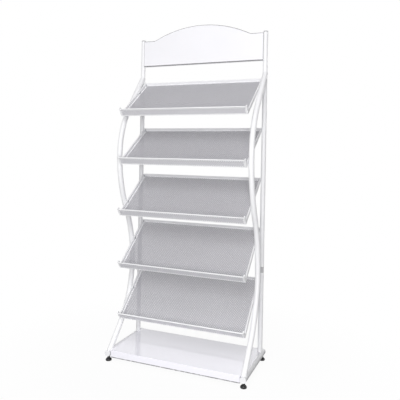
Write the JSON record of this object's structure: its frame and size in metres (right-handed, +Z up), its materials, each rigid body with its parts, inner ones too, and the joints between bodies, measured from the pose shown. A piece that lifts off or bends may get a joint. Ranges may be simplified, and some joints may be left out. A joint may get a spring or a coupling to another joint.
{
  "type": "document display rack",
  "caption": "Free-standing literature rack: sloped perforated trays with lips between round posts and S-shaped tubes, with an arched header and a bottom shelf between runners on levelling feet.",
  "frame": {"origin": "on the floor, under the middle of the base", "axes": "+Z up, the rack faces -Y, +X to the right of a person who looks at its front"},
  "size_m": [0.684, 0.3294, 1.611],
  "materials": {
    "frame_coat": "satin white powder coat on steel tube and bar",
    "tray_sheet_coat": "satin white powder coat on perforated steel sheet",
    "header_coat": "satin white powder coat on steel sheet",
    "base_coat": "semi-gloss white powder coat on steel sheet",
    "connector_plastic": "plain moulded grey",
    "cap_plastic": "plain moulded white",
    "foot_plastic": "moulded black",
    "black_steel": "black oxide",
    "zinc_steel": "bright zinc plating"
  },
  "bodies": {
    "frame": {"base_bolts": "zinc_steel", "base_pan": "base_coat", "base_rivet_nuts": "zinc_steel", "foot_nuts": "zinc_steel", "header_bolts": "zinc_steel", "header_panel": "header_coat", "header_rivet_nuts": "zinc_steel", "left_lower_post": "frame_coat", "left_post_cap": "cap_plastic", "left_post_connector": "connector_plastic", "left_runner": "frame_coat", "left_runner_plugs": "cap_plastic", "left_upper_post": "frame_coat", "left_wave_tube": "frame_coat", "right_lower_post": "frame_coat", "right_post_cap": "cap_plastic", "right_post_connector": "connector_plastic", "right_runner": "frame_coat", "right_runner_plugs": "cap_plastic", "right_upper_post": "frame_coat", "right_wave_tube": "frame_coat", "tray_1_back_rail": "frame_coat", "tray_1_bolts": "zinc_steel", "tray_1_left_rail": "frame_coat", "tray_1_lip_rod": "frame_coat", "tray_1_right_rail": "frame_coat", "tray_1_sheet": "tray_sheet_coat", "tray_2_back_rail": "frame_coat", "tray_2_bolts": "zinc_steel", "tray_2_left_rail": "frame_coat", "tray_2_lip_rod": "frame_coat", "tray_2_right_rail": "frame_coat", "tray_2_sheet": "tray_sheet_coat", "tray_3_back_rail": "frame_coat", "tray_3_bolts": "zinc_steel", "tray_3_left_rail": "frame_coat", "tray_3_lip_rod": "frame_coat", "tray_3_right_rail": "frame_coat", "tray_3_sheet": "tray_sheet_coat", "tray_4_back_rail": "frame_coat", "tray_4_bolts": "zinc_steel", "tray_4_left_rail": "frame_coat", "tray_4_lip_rod": "frame_coat", "tray_4_right_rail": "frame_coat", "tray_4_sheet": "tray_sheet_coat", "tray_5_back_rail": "frame_coat", "tray_5_bolts": "zinc_steel", "tray_5_left_rail": "frame_coat", "tray_5_lip_rod": "frame_coat", "tray_5_right_rail": "frame_coat", "tray_5_sheet": "tray_sheet_coat", "tray_rivet_nuts": "zinc_steel"},
    "front_left_pad": {"front_left_foot_pad": "foot_plastic"},
    "front_left_stud": {"front_left_foot_stud": "black_steel"},
    "front_right_pad": {"front_right_foot_pad": "foot_plastic"},
    "front_right_stud": {"front_right_foot_stud": "black_steel"},
    "rear_left_pad": {"rear_left_foot_pad": "foot_plastic"},
    "rear_left_stud": {"rear_left_foot_stud": "black_steel"},
    "rear_right_pad": {"rear_right_foot_pad": "foot_plastic"},
    "rear_right_stud": {"rear_right_foot_stud": "black_steel"}
  },
  "joints": [
    {"name": "front_left_foot_lift", "type": "slide", "parent": "frame", "child": "front_left_pad", "axis": [0, 0, 1], "range_m": [-0.01, 0.0025]},
    {"name": "front_left_stud_turn", "type": "hinge", "parent": "front_left_pad", "child": "front_left_stud", "pos_m": [-0.328, -0.15074, 0.024], "axis": [0, 0, 1], "range_deg": [-2890, 730]},
    {"name": "front_right_foot_lift", "type": "slide", "parent": "frame", "child": "front_right_pad", "axis": [0, 0, 1], "range_m": [-0.01, 0.0025]},
    {"name": "front_right_stud_turn", "type": "hinge", "parent": "front_right_pad", "child": "front_right_stud", "pos_m": [0.328, -0.15074, 0.024], "axis": [0, 0, 1], "range_deg": [-2890, 730]},
    {"name": "rear_left_foot_lift", "type": "slide", "parent": "frame", "child": "rear_left_pad", "axis": [0, 0, 1], "range_m": [-0.01, 0.0025]},
    {"name": "rear_left_stud_turn", "type": "hinge", "parent": "rear_left_pad", "child": "rear_left_stud", "pos_m": [-0.328, 0.15074, 0.024], "axis": [0, 0, 1], "range_deg": [-2890, 730]},
    {"name": "rear_right_foot_lift", "type": "slide", "parent": "frame", "child": "rear_right_pad", "axis": [0, 0, 1], "range_m": [-0.01, 0.0025]},
    {"name": "rear_right_stud_turn", "type": "hinge", "parent": "rear_right_pad", "child": "rear_right_stud", "pos_m": [0.328, 0.15074, 0.024], "axis": [0, 0, 1], "range_deg": [-2890, 730]}
  ],
  "couplings": [
    {"joint": "front_left_stud_turn", "follows": "front_left_foot_lift", "rad_per_m": 5026.5},
    {"joint": "front_right_stud_turn", "follows": "front_right_foot_lift", "rad_per_m": 5026.5},
    {"joint": "rear_left_stud_turn", "follows": "rear_left_foot_lift", "rad_per_m": 5026.5},
    {"joint": "rear_right_stud_turn", "follows": "rear_right_foot_lift", "rad_per_m": 5026.5}
  ]
}
